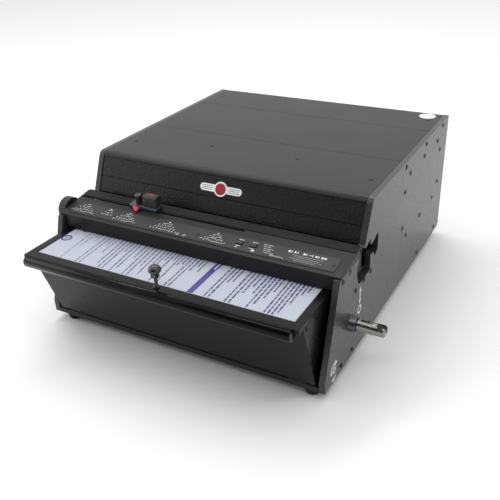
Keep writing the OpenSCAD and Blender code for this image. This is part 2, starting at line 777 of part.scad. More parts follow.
module clamp_arms() color("slategray") place() both_sides() difference() {
    span = arm_tip - clamp_at;
    x0 = arm_x - arm_t / 2;
    x1 = arm_x + arm_t / 2;
    union() {
        rod(clamp_at, clamp_d + 12, x0, x1);
        intersection() {
            along_x(x0, x1) translate(clamp_at) rotate(atan2(span[1], span[0]))
                translate([0, -arm_w / 2]) square([norm(span) + arm_w, arm_w]);
            block([x0, clamp_at[0] - 20, clamp_at[1] - 40], [x1, clamp_at[0] + 60, arm_tip[1]]);
        }
    }
    rod(clamp_at, clamp_d, x0 - 1, x1 + 1);
}

// ---- Side guide ----

module guide_knob() color("#0e0e0f") place() {
    flutes = 18;
    flute_d = 3;
    translate([-half_w - knob_gap, screw_at[0], screw_at[1]]) rotate([0, -90, 0]) difference() {
        union() {
            cylinder(d = knob_d, h = knob_l - 2);
            translate([0, 0, knob_l - 2]) cylinder(d1 = knob_d, d2 = knob_d - 4, h = 2);
        }
        for (i = [0:flutes - 1]) rotate(i * 360 / flutes)
            translate([knob_d / 2 + 0.7, 0, 2]) cylinder(d = flute_d, h = knob_l, $fn = 16);
        translate([0, 0, -1]) cylinder(d = screw_d, h = knob_bore + 1);
    }
}

module lead_screw() color("silver") place() difference() {
    rod(screw_at, screw_d, -half_w - knob_gap - knob_bore, half_w - 0.5);
    for (x = [-190:10:190]) translate([x, 0, 0]) difference() {
        rod(screw_at, screw_d + 1, 0, 1);
        rod(screw_at, screw_d - 1, -1, 2);
    }
}

module guide_carriage() color("#3c4a5c") place() {
    x = guide_x;
    difference() {
        block([x[0], carriage_y[0], carriage_z[0]], [x[1], carriage_y[1], carriage_z[1]]);
        rod(screw_at, screw_d + 0.6, x[0] - 1, x[1] + 1);
    }
    block([x[0] + 2, guide_slot_y - neck_w / 2, carriage_z[1]],
        [x[1] - 2, guide_slot_y + neck_w / 2, deck_z(guide_slot_y) + rider_lift + 1]);
    difference() {
        along_x(rider_x, x[1]) polygon([
            [rider_y[0], deck_z(rider_y[0]) + rider_lift], [rider_y[1], deck_z(rider_y[1]) + rider_lift],
            [rider_y[1], rider_top(rider_y[1])], [rider_y[0], rider_top(rider_y[0])]]);
        on_deck(thumb_at[0], thumb_at[1]) cylinder(d = 4.2, h = 20, center = true);
    }
}

function rider_top(y) = deck_z(y) + rider_lift + rider_t;

module guide_block() color("#26272a") place() along_x(guide_x[0], guide_x[1]) polygon([
    [guide_y[0], rider_top(guide_y[0])], [guide_y[1], rider_top(guide_y[1])],
    [guide_y[1], guide_top_z - 3], [guide_y[1] - 3, guide_top_z], [guide_y[0] + 2, guide_top_z],
    [guide_y[0], guide_top_z - 2]]);

module guide_pointer() color("crimson") place() on_deck(thumb_at[0], rider_y[0], rider_lift)
    linear_extrude(3) polygon([[-8, 0], [4, 0], [6, -8], [4.5, -9.5], [1, -8]]);

module guide_thumb_screw() color("lightgray") place() {
    seat = (rider_lift + rider_t) * cos(deck_slope) + 0.3;
    on_deck(thumb_at[0], thumb_at[1], seat) {
        translate([0, 0, -3.3]) cylinder(d = 4, h = 3.3);
        difference() {
            cylinder(d = thumb_d, h = thumb_h);
            for (a = [0:30:330]) rotate(a) translate([thumb_d / 2 + 0.4, 0, -1])
                cylinder(d = 1.6, h = thumb_h + 2, $fn = 13);
        }
    }
}

// ---- Controls ----

module deck_button(x) on_deck(x, button_y) {
    cap = 2;
    flange = [button_size[0] + 4, button_size[1], 1];
    translate([0, 0, (cap - deck_t - 1) / 2])
        cube([button_size[0], button_size[1], cap + deck_t + 1], center = true);
    translate([0, 0, -deck_t - 0.6 - flange[2] / 2]) cube(flange, center = true);
}

module punch_button() color("#0a0a0b") place() deck_button(button_x[0]);

module reverse_button() color("#0a0a0b") place() deck_button(button_x[1]);

module power_rocker() color("#0a0a0b") place() {
    pivot = [rear_y[0] - switch_depth, switch_at[1]];
    crown = 8.5;
    difference() {
        rod(pivot, switch_d, switch_at[0] - switch_w / 2, switch_at[0] + switch_w / 2);
        for (tilt = [-14, 14]) along_x(switch_at[0] - switch_w, switch_at[0] + switch_w)
            translate(pivot) rotate(tilt) translate([crown, tilt < 0 ? -switch_d : 0])
                square([switch_d, switch_d]);
    }
}

base_pan();
left_side_plate();
right_side_plate();
top_cover_front();
top_cover_middle();
top_cover_rear();
face_panel_upper();
face_panel_lower();
deck_cover();
control_overlay();
deck_rear_strip();
rear_panel();
feet();
tie_bars();
side_screws();
cover_screws();
badge();
round_sticker();
die_bed();
chip_chute();
drawer_runners();
bearing_plates();
shaft_bearings();
press_guides();
clamp_bushing();
motor();
gearbox();
control_board();
transformer();
power_inlet();
fuse_holder();
pedal_socket();
drawer_body();
drawer_lid();
instruction_card();
drawer_lip();
drawer_knob();
die_base();
die_plate();
die_guide_plate();
pin_bar();
punch_pins();
press_bar();
main_shaft();
eccentrics();
main_gear();
connecting_links();
drive_pinion();
clamp_shaft();
clamp_arms();
guide_knob();
lead_screw();
guide_carriage();
guide_block();
guide_pointer();
guide_thumb_screw();
punch_button();
reverse_button();
power_rocker();
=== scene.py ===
"""Looks of an electric binding punch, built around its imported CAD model.

Lengths in the helpers are millimetres in the bench frame: x = 0 on the mid-plane, y = 0 at the
lower front edge of the side plates, z = 0 on the table. bench() turns them into the row frame.
"""

import json
import math
import random

import bmesh
import bpy
from mathutils import Matrix, Vector


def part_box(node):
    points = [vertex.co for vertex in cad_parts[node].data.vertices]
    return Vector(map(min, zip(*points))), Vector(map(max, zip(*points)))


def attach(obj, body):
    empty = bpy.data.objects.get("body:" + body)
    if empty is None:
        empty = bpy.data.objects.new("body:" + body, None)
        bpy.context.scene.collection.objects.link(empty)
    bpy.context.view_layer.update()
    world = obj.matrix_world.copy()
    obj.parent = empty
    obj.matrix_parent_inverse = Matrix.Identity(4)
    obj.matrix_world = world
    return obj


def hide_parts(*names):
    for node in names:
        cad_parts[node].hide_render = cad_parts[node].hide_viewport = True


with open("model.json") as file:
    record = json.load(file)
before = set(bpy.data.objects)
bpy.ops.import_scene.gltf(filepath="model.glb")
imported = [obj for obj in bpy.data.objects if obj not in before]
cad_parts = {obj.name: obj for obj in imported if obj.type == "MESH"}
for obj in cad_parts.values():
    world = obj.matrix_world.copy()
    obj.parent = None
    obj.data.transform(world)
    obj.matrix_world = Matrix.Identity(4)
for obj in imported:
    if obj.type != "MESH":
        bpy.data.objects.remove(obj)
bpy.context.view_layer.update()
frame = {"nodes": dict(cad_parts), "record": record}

MM = 0.001
LEFT_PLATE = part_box("left_side_plate")
RIGHT_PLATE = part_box("right_side_plate")
MID_X = (LEFT_PLATE[0].x + RIGHT_PLATE[1].x) / 2
FRONT_Y = LEFT_PLATE[0].y


def bench(x, y, z):
    """A bench-frame point in millimetres, as a row-frame point in metres."""
    return Vector((MID_X + x * MM, FRONT_Y + y * MM, z * MM))


def to_bench(point):
    """A row-frame point in metres, as a bench-frame point in millimetres."""
    return Vector(((point.x - MID_X) / MM, (point.y - FRONT_Y) / MM, point.z / MM))


def low(node):
    """Lowest corner of a CAD node's box, in bench millimetres."""
    return to_bench(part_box(node)[0])


def high(node):
    """Highest corner of a CAD node's box, in bench millimetres."""
    return to_bench(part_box(node)[1])


BASE_Z = low("right_side_plate").z
DECK_SLOPE = math.radians(8.9)      # rise of the control deck towards the rear
FACE_LEAN = math.radians(23.6)      # lean of the upper face from the vertical
OVERLAY_T = 0.6                     # thickness of the film on the deck
INK_W = (-0.05, 0.04)               # a print's bottom and top, from the surface that carries it


# ---------------------------------------------------------------- camera and light

SENSOR_MM = 36
LENS_MM = 49.15
CAMERA_ANGLES = (29.62, 28.55, -2.26)       # azimuth, elevation and roll in degrees
CAMERA_PLACE = (446.3, -581.6, 549.8)       # bench millimetres

FLOOR_SIZE = 24                             # metres
FLOOR_WHITE = (0.92, 0.92, 0.92, 1)
DARK_SIDE = Vector((0.2, -0.945, 0.26))     # direction of the unlit end of the studio
STUDIO_WHITE = (1, 1, 1, 1)
STUDIO_DARK = (0.02, 0.02, 0.022, 1)
DARK_RAMP = (0.64, 0.9)                     # from white to dark, as cosines to DARK_SIDE

# name, place, point that it faces, size (all in metres), power in watts
LIGHTS = (
    ("top_strip", (-0.9, 0.6, 2.1), (0, 0, 0.1), (2.6, 0.25), 17),
    ("front_strip", (0.5, -0.75, 1.9), (0, -0.2, 0.1), (2.2, 0.07), 7),
    ("left_light", (-2.1, -1.0, 0.9), (0, 0, 0.1), (1.0, 1.2), 8),
)


def look(azimuth, elevation, roll):
    """Camera axes (right, up, back) for angles in degrees."""
    a, e, r = (math.radians(v) for v in (azimuth, elevation, roll))
    back = Vector((math.sin(a) * math.cos(e), -math.cos(a) * math.cos(e), math.sin(e)))
    right = Vector((math.cos(a), math.sin(a), 0))
    up = back.cross(right)
    return math.cos(r) * right + math.sin(r) * up, math.cos(r) * up - math.sin(r) * right, back


def add_camera():
    bpy.context.scene.view_settings.view_transform = "Standard"
    data = bpy.data.cameras.new("camera")
    data.sensor_width = SENSOR_MM
    data.lens = LENS_MM
    data.clip_end = 50
    camera = bpy.data.objects.new("camera", data)
    bpy.context.scene.collection.objects.link(camera)
    right, up, back = look(*CAMERA_ANGLES)
    turn = Matrix((right, up, back)).transposed().to_4x4()
    camera.matrix_world = Matrix.Translation(bench(*CAMERA_PLACE)) @ turn
    bpy.context.scene.camera = camera


def add_light(name, place, target, size, power):
    data = bpy.data.lights.new(name, "AREA")
    data.shape = "RECTANGLE"
    data.size, data.size_y = size
    data.energy = power
    lamp = bpy.data.objects.new(name, data)
    bpy.context.scene.collection.objects.link(lamp)
    lamp.location = Vector(place)
    lamp.rotation_euler = (Vector(target) - Vector(place)).to_track_quat("-Z", "Y").to_euler()


def add_world():
    """White surroundings with a dark end in front of the machine, as in a photo studio."""
    world = bpy.data.worlds.new("studio")
    bpy.context.scene.world = world
    world.use_nodes = True
    nodes, links = world.node_tree.nodes, world.node_tree.links
    nodes.clear()
    out = nodes.new("ShaderNodeOutputWorld")
    sky = nodes.new("ShaderNodeBackground")
    coords = nodes.new("ShaderNodeTexCoord")
    toward = nodes.new("ShaderNodeVectorMath")
    toward.operation = "DOT_PRODUCT"
    toward.inputs[1].default_value = DARK_SIDE
    ramp = nodes.new("ShaderNodeValToRGB")
    for element, position, color in zip(ramp.color_ramp.elements, DARK_RAMP,
                                        (STUDIO_WHITE, STUDIO_DARK)):
        element.position = position
        element.color = color
    links.new(coords.outputs["Generated"], toward.inputs[0])
    links.new(toward.outputs["Value"], ramp.inputs["Fac"])
    links.new(ramp.outputs["Color"], sky.inputs["Color"])
    sky.inputs["Strength"].default_value = 1.0
    links.new(sky.outputs["Background"], out.inputs["Surface"])


def add_floor():
    bpy.ops.mesh.primitive_plane_add(size=FLOOR_SIZE, location=(0, 0, 0))
    floor = bpy.context.object
    floor.name = "floor"
    material = bpy.data.materials.new("floor_white")
    material.use_nodes = True
    shader = material.node_tree.nodes["Principled BSDF"]
    shader.inputs["Base Color"].default_value = FLOOR_WHITE
    shader.inputs["Roughness"].default_value = 0.7
    floor.data.materials.append(material)


add_camera()
add_world()
add_floor()
for light in LIGHTS:
    add_light(*light)


# ---------------------------------------------------------------- materials

class Shader:
    """A Principled material with small helpers for its noise, colour and bump."""

    def __init__(self, name, color, rough, metal=0.0, spec=0.5, coat=0.0):
        self.material = bpy.data.materials.new(name)
        self.material.use_nodes = True
        self.nodes = self.material.node_tree.nodes
        self.links = self.material.node_tree.links
        self.bsdf = self.nodes["Principled BSDF"]
        self.color, self.rough = color, rough
        self.bsdf.inputs["Base Color"].default_value = (*color, 1)
        self.bsdf.inputs["Roughness"].default_value = rough
        self.bsdf.inputs["Metallic"].default_value = metal
        self.bsdf.inputs["Specular IOR Level"].default_value = spec
        self.bsdf.inputs["Coat Weight"].default_value = coat
        self.coords = self.nodes.new("ShaderNodeTexCoord")
        self.last_normal = None

    def mapped(self, stretch):
        mapping = self.nodes.new("ShaderNodeMapping")
        mapping.inputs["Scale"].default_value = stretch
        self.links.new(self.coords.outputs["Object"], mapping.inputs["Vector"])
        return mapping.outputs["Vector"]

    # Scales below are features per metre of the piece's own coordinates.

    def noise(self, scale, detail=3, rough=0.55, stretch=(1, 1, 1)):
        node = self.nodes.new("ShaderNodeTexNoise")
        node.inputs["Scale"].default_value = scale
        node.inputs["Detail"].default_value = detail
        node.inputs["Roughness"].default_value = rough
        self.links.new(self.mapped(stretch), node.inputs["Vector"])
        return node.outputs["Fac"]

    def cells(self, scale, stretch=(1, 1, 1)):
        node = self.nodes.new("ShaderNodeTexVoronoi")
        node.feature = "F1"
        node.inputs["Scale"].default_value = scale
        self.links.new(self.mapped(stretch), node.inputs["Vector"])
        return node.outputs["Distance"]

    def ranged(self, value, to_low, to_high, from_low=0.3, from_high=0.7):
        node = self.nodes.new("ShaderNodeMapRange")
        node.inputs["From Min"].default_value = from_low
        node.inputs["From Max"].default_value = from_high
        node.inputs["To Min"].default_value = to_low
        node.inputs["To Max"].default_value = to_high
        self.links.new(value, node.inputs["Value"])
        return node.outputs["Result"]

    def vary_rough(self, value, spread):
        ranged = self.ranged(value, max(0.02, self.rough - spread), min(1, self.rough + spread))
        self.links.new(ranged, self.bsdf.inputs["Roughness"])
        return self

    def vary_color(self, value, other, from_low=0.3, from_high=0.7):
        mix = self.nodes.new("ShaderNodeMix")
        mix.data_type = "RGBA"
        mix.inputs["A"].default_value = (*self.color, 1)
        mix.inputs["B"].default_value = (*other, 1)
        self.links.new(self.ranged(value, 0, 1, from_low, from_high), mix.inputs["Factor"])
        self.links.new(mix.outputs["Result"], self.bsdf.inputs["Base Color"])
        return self

    def bump(self, value, height_mm):
        node = self.nodes.new("ShaderNodeBump")
        node.inputs["Strength"].default_value = 1.0
        node.inputs["Distance"].default_value = height_mm * MM
        self.links.new(value, node.inputs["Height"])
        if self.last_normal is not None:
            self.links.new(self.last_normal, node.inputs["Normal"])
        self.last_normal = node.outputs["Normal"]
        self.links.new(self.last_normal, self.bsdf.inputs["Normal"])
        return self


def powder_coat(name, color, rough, grain_mm=0.9, height_mm=0.05, spec=0.25):
    """Fine-textured powder coat: tiny rounded grains over a slow drift in tone."""
    s = Shader(name, color, rough, spec=spec)
    grain = s.noise(1000 / grain_mm, detail=2)
    s.vary_color(s.noise(14, 3), tuple(c * 1.35 for c in color))
    s.vary_rough(grain, 0.1)
    return s.bump(grain, height_mm).material


def enamel(name, color, rough, spec=0.5):
    """Smooth satin enamel with a faint orange peel."""
    s = Shader(name, color, rough, spec=spec)
    s.vary_color(s.noise(9, 3), tuple(c * 1.3 for c in color))
    s.vary_rough(s.noise(160, 4), 0.04)
    return s.bump(s.noise(700, 2), 0.004).material


def wrinkle_enamel(name, color, rough, spec=0.3):
    """Wrinkled enamel: closed cells a millimetre or two across, with painted highlight: the colour is
    lighter on the raised cell edges.
    """
    s = Shader(name, color, rough, spec=spec)
    cells = s.cells(620)
    # Lighter colour on the raised cell edges: painted highlight on the wrinkles.
    s.vary_color(cells, tuple(c * 2.2 for c in color), 0.1, 0.7)
    s.vary_rough(s.noise(700, 2), 0.12)
    s.bump(cells, 0.35)
    return s.bump(s.noise(1400, 2), 0.08).material


def plastic(name, color, rough, grain_mm=0.5, coat=0.0, spec=0.5):
    """Moulded plastic with a light spark-eroded grain."""
    s = Shader(name, color, rough, spec=spec, coat=coat)
    grain = s.noise(1000 / grain_mm, detail=2)
    s.vary_color(s.noise(25, 2), tuple(min(1, c * 1.25 + 0.002) for c in color))
    s.vary_rough(grain, 0.06)
    return s.bump(grain, 0.012).material


def rubber(name, color):
    """Dull moulded rubber."""
    s = Shader(name, color, 0.75, spec=0.3)
    s.vary_color(s.noise(60, 4), tuple(c * 1.8 for c in color))
    return s.bump(s.noise(900, 3), 0.05).material


def brushed(name, color, rough, along=(1, 0.02, 1)):
    """Metal with fine lines; the small entry of along is the direction the lines run in."""
    s = Shader(name, color, rough, metal=1.0)
    lines = s.noise(900, 3, 0.6, along)
    s.vary_color(s.noise(18, 3), tuple(c * 0.82 for c in color))
    s.vary_rough(lines, 0.1)
    return s.bump(lines, 0.01).material


def cast_metal(name, color, rough, metal=1.0):
    """Die-cast metal with a slightly uneven skin."""
    s = Shader(name, color, rough, metal=metal)
    s.vary_color(s.noise(30, 4), tuple(c * 0.75 for c in color))
    return s.bump(s.noise(500, 4), 0.08).material


def paper(name, color, rough=0.6):
    """Card or label stock with faint fibres."""
    s = Shader(name, color, rough, spec=0.3)
    s.vary_color(s.noise(90, 4), tuple(c * 0.97 for c in color))
    return s.bump(s.noise(1500, 3), 0.01).material


def ink(name, color):
    """Screen-printed ink, a little uneven."""
    s = Shader(name, color, 0.45)
    s.vary_color(s.noise(300, 3), tuple(c * 0.9 for c in color))
    return s.bump(s.noise(1200, 2), 0.004).material


def circuit_board(name, color):
    """Solder mask over raised tracks."""
    s = Shader(name, color, 0.35)
    tracks = s.cells(260, (1, 0.35, 1))
    s.vary_color(tracks, tuple(c * 2.4 for c in color), 0.28, 0.32)
    return s.bump(tracks, 0.02).material


def winding(name, color):
    """Varnished copper wire in layers."""
    s = Shader(name, color, 0.3, spec=0.6, coat=0.3)
    turns = s.noise(60, 1, 0.3, (1, 1, 14))
    s.vary_color(turns, tuple(c * 0.6 for c in color))
    return s.bump(turns, 0.4).material


MATERIALS = {
    "plate_black": enamel("plate_black", (0.027, 0.0275, 0.029), 0.3),
    "cover_black": powder_coat("cover_black", (0.018, 0.018, 0.018), 0.4, 0.8, 0.02),
    "face_black": wrinkle_enamel("face_black", (0.003, 0.0033, 0.0038), 0.3),
    "deck_black": powder_coat("deck_black", (0.012, 0.012, 0.0125), 0.38, 0.9, 0.03, 0.2),
    "overlay_film": plastic("overlay_film", (0.018, 0.018, 0.019), 0.38, spec=0.3),
    "strip_black": powder_coat("strip_black", (0.003, 0.003, 0.0034), 0.5, 0.9, 0.03, 0.2),
    "drawer_black": enamel("drawer_black", (0.003, 0.003, 0.0034), 0.24, 0.17),
    "lip_black": plastic("lip_black", (0.002, 0.002, 0.0023), 0.14, 1.2, spec=0.14),
    "knob_black": plastic("knob_black", (0.008, 0.008, 0.009), 0.18, 2.0, 0.5),
    "plastic_black": plastic("plastic_black", (0.01, 0.01, 0.011), 0.45),
    "key_black": plastic("key_black", (0.004, 0.004, 0.005), 0.25, 1.5),
    "rubber_black": rubber("rubber_black", (0.01, 0.01, 0.01)),
    "zinc_steel": brushed("zinc_steel", (0.62, 0.63, 0.65), 0.3),
    "tool_steel": brushed("tool_steel", (0.03, 0.03, 0.032), 0.4),
    "dark_steel": brushed("dark_steel", (0.14, 0.14, 0.145), 0.35, (0.02, 1, 1)),
    "shaft_steel": brushed("shaft_steel", (0.3, 0.285, 0.265), 0.27, (1, 0.05, 0.05)),
    "screw_steel": brushed("screw_steel", (0.045, 0.045, 0.048), 0.35),
    "cast_grey": cast_metal("cast_grey", (0.16, 0.17, 0.18), 0.5, 0.6),
    "alloy_grey": cast_metal("alloy_grey", (0.4, 0.42, 0.45), 0.45),
    "bronze": brushed("bronze", (0.2, 0.13, 0.05), 0.5),
    "board_green": circuit_board("board_green", (0.01, 0.09, 0.035)),
    "winding": winding("winding", (0.3, 0.13, 0.03)),
    "card_white": paper("card_white", (0.46, 0.49, 0.57), 0.45),
    "sticker_cream": paper("sticker_cream", (0.78, 0.76, 0.68)),
    "badge_white": plastic("badge_white", (0.82, 0.82, 0.83), 0.3, 1.0),
    "guide_grey": plastic("guide_grey", (0.018, 0.019, 0.02), 0.38),
    "guide_blue": plastic("guide_blue", (0.045, 0.06, 0.085), 0.4),
    "pointer_red": plastic("pointer_red", (0.5, 0.012, 0.03), 0.35),
    "runner_white": plastic("runner_white", (0.7, 0.7, 0.68), 0.5),
}

# Finishes of printed and small details, which no record slot describes closely
WHITE_PRINT = ink("white_print", (0.6, 0.6, 0.6))
TITLE_PRINT = ink("title_print", (0.85, 0.85, 0.86))
BADGE_RED = plastic("badge_red", (0.34, 0.006, 0.012), 0.35, 1.0)
MARK_RED = plastic("mark_red", (0.19, 0.008, 0.012), 0.45, 0.6)
# Label grey on the guide block's front: partly its own colour, partly painted light on that face.
FRONT_LIGHT_LABEL = plastic("label_and_front_light", (0.035, 0.035, 0.028), 0.5, 0.6)
SCREW_DARK = brushed("screw_dark", (0.05, 0.05, 0.053), 0.4)
CAP_ALLOY = brushed("cap_alloy", (0.09, 0.09, 0.09), 0.45)
GREY_PRINT = ink("grey_print", (0.24, 0.24, 0.25))
CARD_PRINT = ink("card_print", (0.06, 0.06, 0.14))
CARD_BOLD = ink("card_bold", (0.06, 0.055, 0.16))
CARD_PURPLE = ink("card_purple", (0.06, 0.04, 0.24))


# ---------------------------------------------------------------- mesh building

def soften(piece, edge_mm):
    """Rounds a piece's sharp edges."""
    bevel = piece.modifiers.new("edges", "BEVEL")
    bevel.width = edge_mm * MM
    bevel.segments = 2
    bevel.limit_method = "ANGLE"
    bevel.harden_normals = True
    return bevel


def circle(center, radius, steps):
    """Points of a circle in (u, v)."""
    turns = [2 * math.pi * i / steps for i in range(steps)]
    return [(center[0] + radius * math.cos(t), center[1] + radius * math.sin(t)) for t in turns]


class Solid:
    """Prisms and turned shapes collected into one mesh, in bench millimetres."""

    def __init__(self):
        self.mesh = bmesh.new()

    def prism(self, at, outline, low_w, high_w):
        """Closed prism on a local frame, its outline counter-clockwise in (u, v)."""
        lower = [self.mesh.verts.new(at @ Vector((u, v, low_w))) for u, v in outline]
        upper = [self.mesh.verts.new(at @ Vector((u, v, high_w))) for u, v in outline]
        self.mesh.faces.new(lower[::-1])
        self.mesh.faces.new(upper)
        count = len(outline)
        for i in range(count):
            j = (i + 1) % count
            self.mesh.faces.new((lower[i], lower[j], upper[j], upper[i]))
        return self

    def bar(self, at, start, end, width, low_w, high_w):
        """Straight stroke between two (u, v) points."""
        a, b = Vector(start), Vector(end)
        side = (b - a).normalized() * width / 2
        side = Vector((-side.y, side.x))
        return self.prism(at, [a - side, b - side, b + side, a + side], low_w, high_w)

    def loop(self, at, outer, inner, low_w, high_w):
        """Closed band between two outlines with the same number of points."""
        rows = [[self.mesh.verts.new(at @ Vector((u, v, w))) for u, v in line]
                for line, w in ((outer, low_w), (outer, high_w), (inner, high_w), (inner, low_w))]
        count = len(outer)
        for r in range(4):
            for i in range(count):
                j = (i + 1) % count
                s = (r + 1) % 4
                self.mesh.faces.new((rows[r][i], rows[r][j], rows[s][j], rows[s][i]))
        return self

    def ring(self, at, center, radius, width, low_w, high_w, steps=24):
        outlines = [circle(center, r, steps) for r in (radius, radius - width)]
        return self.loop(at, *outlines, low_w, high_w)

    def disc(self, at, center, radius, low_w, high_w, steps=20):
        return self.prism(at, circle(center, radius, steps), low_w, high_w)

    def arc(self, at, center, radii, start, end, width, low_w, high_w, steps=10):
        """Elliptical arc from start to end degrees, as a flat ribbon."""
        def point(angle, grow):
            return (center[0] + (radii[0] + grow) * math.cos(angle),
                    center[1] + (radii[1] + grow) * math.sin(angle))
        angles = [math.radians(start + (end - start) * i / steps) for i in range(steps + 1)]
        outer = [point(t, width / 2) for t in angles]
        inner = [point(t, -width / 2) for t in angles]
        return self.prism(at, outer + inner[::-1], low_w, high_w)

    def turned(self, at, profile, steps=48):
        """Turned about the local w axis. The profile is (radius, w) pairs, axis to axis."""
        rows = []
        for radius, w in profile:
            if radius == 0:
                rows.append([self.mesh.verts.new(at @ Vector((0, 0, w)))])
            else:
                rows.append([self.mesh.verts.new(at @ Vector((u, v, w)))
                             for u, v in circle((0, 0), radius, steps)])
        for lower, upper in zip(rows, rows[1:]):
            for i in range(steps):
                j = (i + 1) % steps
                corners = [lower[i % len(lower)], lower[j % len(lower)],
                           upper[j % len(upper)], upper[i % len(upper)]]
                unique = list(dict.fromkeys(corners))
                if len(unique) > 2:
                    self.mesh.faces.new(unique)
        return self

    def place(self, name, material, body, slot, edge=0, sharp=35):
        """Makes the object: it rides on a body and takes the given material; the slot argument is not
        used.
        """
        bmesh.ops.recalc_face_normals(self.mesh, faces=self.mesh.faces)
        for vert in self.mesh.verts:
            vert.co = bench(*vert.co)
        data = bpy.data.meshes.new(name)
        self.mesh.to_mesh(data)
        self.mesh.free()
        data.materials.append(material)
        data.shade_smooth()
        data.set_sharp_from_angle(angle=math.radians(sharp))
        piece = bpy.data.objects.new(name, data)
        bpy.context.scene.collection.objects.link(piece)
        if edge:
            soften(piece, edge)
        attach(piece, body)
        return piece


def local_frame(origin, u, v):
    """Matrix of a local frame, from its origin and two of its axes."""
    u, v = Vector(u).normalized(), Vector(v).normalized()
    turn = Matrix((u, v, u.cross(v))).transposed().to_4x4()
    return Matrix.Translation(Vector(origin)) @ turn


def deck_z(y):
    """Height of the deck's upper surface."""
    corner = high("deck_cover")
    return corner.z - (corner.y - y) * math.tan(DECK_SLOPE)


def deck_frame(x, y, lift=0.0):
    """Local frame on the deck: u to the right, v up the slope, w out of the surface."""
    slope = Vector((0, math.cos(DECK_SLOPE), math.sin(DECK_SLOPE)))
    normal = Vector((0, -math.sin(DECK_SLOPE), math.cos(DECK_SLOPE)))
    return local_frame(Vector((x, y, deck_z(y))) + normal * lift, (1, 0, 0), slope)


def rounded_outline(half_u, half_v, radius, steps=6):
    """Rectangle about the origin with rounded corners."""
    points = []
    for corner, (su, sv) in enumerate(((1, 1), (-1, 1), (-1, -1), (1, -1))):
        for i in range(steps + 1):
            t = math.radians(90 * corner + 90 * i / steps)
            points.append((su * (half_u - radius) + radius * math.cos(t),
                           sv * (half_v - radius) + radius * math.sin(t)))
    return points


# ---------------------------------------------------------------- CAD nodes

EDGE_MM = {
    "left_side_plate": 0.8, "right_side_plate": 0.8, "deck_cover": 0.5, "drawer_lid": 0.6,
    "drawer_body": 0.5, "guide_block": 0.6, "face_panel_upper": 0.3, "face_panel_lower": 0.3,
    "top_cover_front": 0.4, "top_cover_middle": 0.4, "top_cover_rear": 0.4, "rear_panel": 0.3,
    "drawer_lip": 0.6, "feet": 0.8, "guide_knob": 0.5, "press_bar": 0.6, "gearbox": 1.5,
    "die_base": 0.4, "die_plate": 0.4, "die_guide_plate": 0.4, "power_inlet": 0.4,
    "transformer": 0.8, "guide_carriage": 0.5, "badge": 0.3, "base_pan": 0.4,
    "guide_pointer": 0.4, "clamp_shaft": 0.3, "clamp_bushing": 0.4,
}


def finish_nodes():
    """Gives each CAD node its material, and a small edge radius where its edges show."""
    slots = {row["node"]: row["material_slot"] for row in frame["record"]["subparts"]}
    for name, node in frame["nodes"].items():
        node.data.materials.clear()
        node.data.materials.append(MATERIALS[slots[name]])
        if name in EDGE_MM:
            weld = node.modifiers.new("weld", "WELD")
            weld.merge_threshold = 0.01 * MM
            soften(node, EDGE_MM[name]).angle_limit = math.radians(35)


# ---------------------------------------------------------------- control overlay

def pictogram(print_, at, u, spread, rows, seed):
    """Generic pictogram: a dot over rows of short arcs and dashes that widen downwards."""
    dot_v, top_row_v, row_pitch, sign_pitch, top_share = 9.5, 6, 4.4, 4.2, 0.34
    rng = random.Random(seed)
    print_.disc(at, (u + rng.uniform(-1, 1), dot_v), 1.2, *INK_W)
    for row in range(rows):
        v = top_row_v - row * row_pitch
        width = spread * (top_share + (1 - top_share) * row / (rows - 1))
        count = round(width / sign_pitch)
        for i in range(count):
            x = u - width / 2 + (i + 0.5) * width / count + rng.uniform(-0.5, 0.5)
            kind = rng.random()
            if kind < 0.45:
                turn = rng.choice((0, 90, 180, 200))
                print_.arc(at, (x, v), (1.7, 1.5), turn, turn + 190, 0.65, *INK_W, 6)
            elif kind < 0.8:
                lean = rng.uniform(-1.6, 1.6)
                print_.bar(at, (x - 1.3, v - lean / 2), (x + 1.3, v + lean / 2), 0.8, *INK_W)
            else:
                print_.bar(at, (x, v - 1.5), (x + 0.4, v + 1.5), 0.7, *INK_W)


def text_line(print_, at, start, length, v, height, seed, letter=2.4):
    """A line of plain dashes that stands for small print, about one letter each."""
    rng = random.Random(seed)
    u = start
    while u < start + length:
        step = min(letter * rng.uniform(0.7, 2.2), start + length - u)
        if step > 0.5:
            print_.bar(at, (u, v), (u + step, v), height * rng.uniform(0.75, 1), *INK_W)
        u += step + letter * 0.35


# Places on the overlay are (u, v) millimetres from its middle.
# Each pictogram's u, spread and number of rows
PICTOGRAMS = ((-180, 40, 4), (-141, 20, 3), (-108, 38, 4), (-44, 44, 4), (31, 38, 4))
TITLE_START, TITLE_V, TITLE_PITCH = 131, 6.2, 3.9
# Width and height of each block in the title line, which stands for a name; (0, 0) is a space
TITLE_BLOCKS = ((2.6, 3.6), (0.9, 4.2), (2.2, 3.2), (0.9, 4.2), (0, 0), (2.4, 3.6), (0.9, 4.2),
                (2.4, 1), (0.9, 4.2), (2.6, 3.4), (0.9, 4), (2.6, 3.6), (2.4, 3.2))
SMALL_PRINT_U = 158
SMALL_PRINT_LENGTHS = (40, 33, 42, 28)


def overlay_outline(at, half_u, half_v):
    """Dark line just inside the overlay's edge."""
    outline = Solid()
    outline.loop(at, rounded_outline(half_u - 0.9, half_v - 0.9, 3.4),
                 rounded_outline(half_u - 1.6, half_v - 1.6, 2.8), *INK_W)
    outline.place("overlay_outline", MATERIALS["strip_black"], "chassis", "overlay_film", sharp=60)


